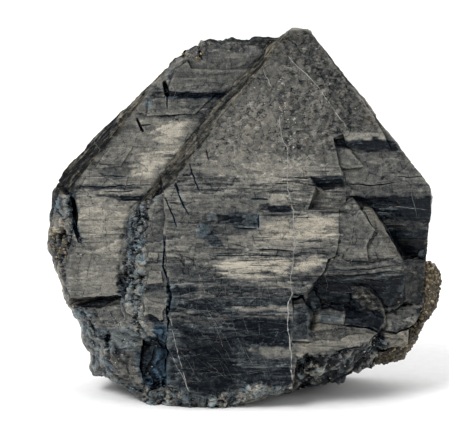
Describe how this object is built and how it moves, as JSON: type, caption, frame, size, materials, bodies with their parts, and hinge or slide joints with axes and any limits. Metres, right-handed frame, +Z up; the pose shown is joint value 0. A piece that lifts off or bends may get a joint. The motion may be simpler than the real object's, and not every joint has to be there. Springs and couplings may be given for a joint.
{
  "type": "tungsten ore specimen",
  "caption": "Hand specimen of intergrown tabular wolframite crystals with striated faces and a remnant of granular host rock; it stands on its flat broken base.",
  "frame": {"origin": "centre of the bounding box, in the plane of the flat base", "axes": "+X along the face striations, the longest extent; -Y the side of the broad striated face; +Z up from the base"},
  "size_m": [0.0998, 0.0436, 0.093],
  "materials": {
    "wolframite": "dark grey with a submetallic sheen on striated faces",
    "granular_rock": "matt tan, sugary grain"
  },
  "bodies": {
    "root": {"wolframite_crystals": "wolframite", "host_rock": "granular_rock"}
  },
  "joints": []
}
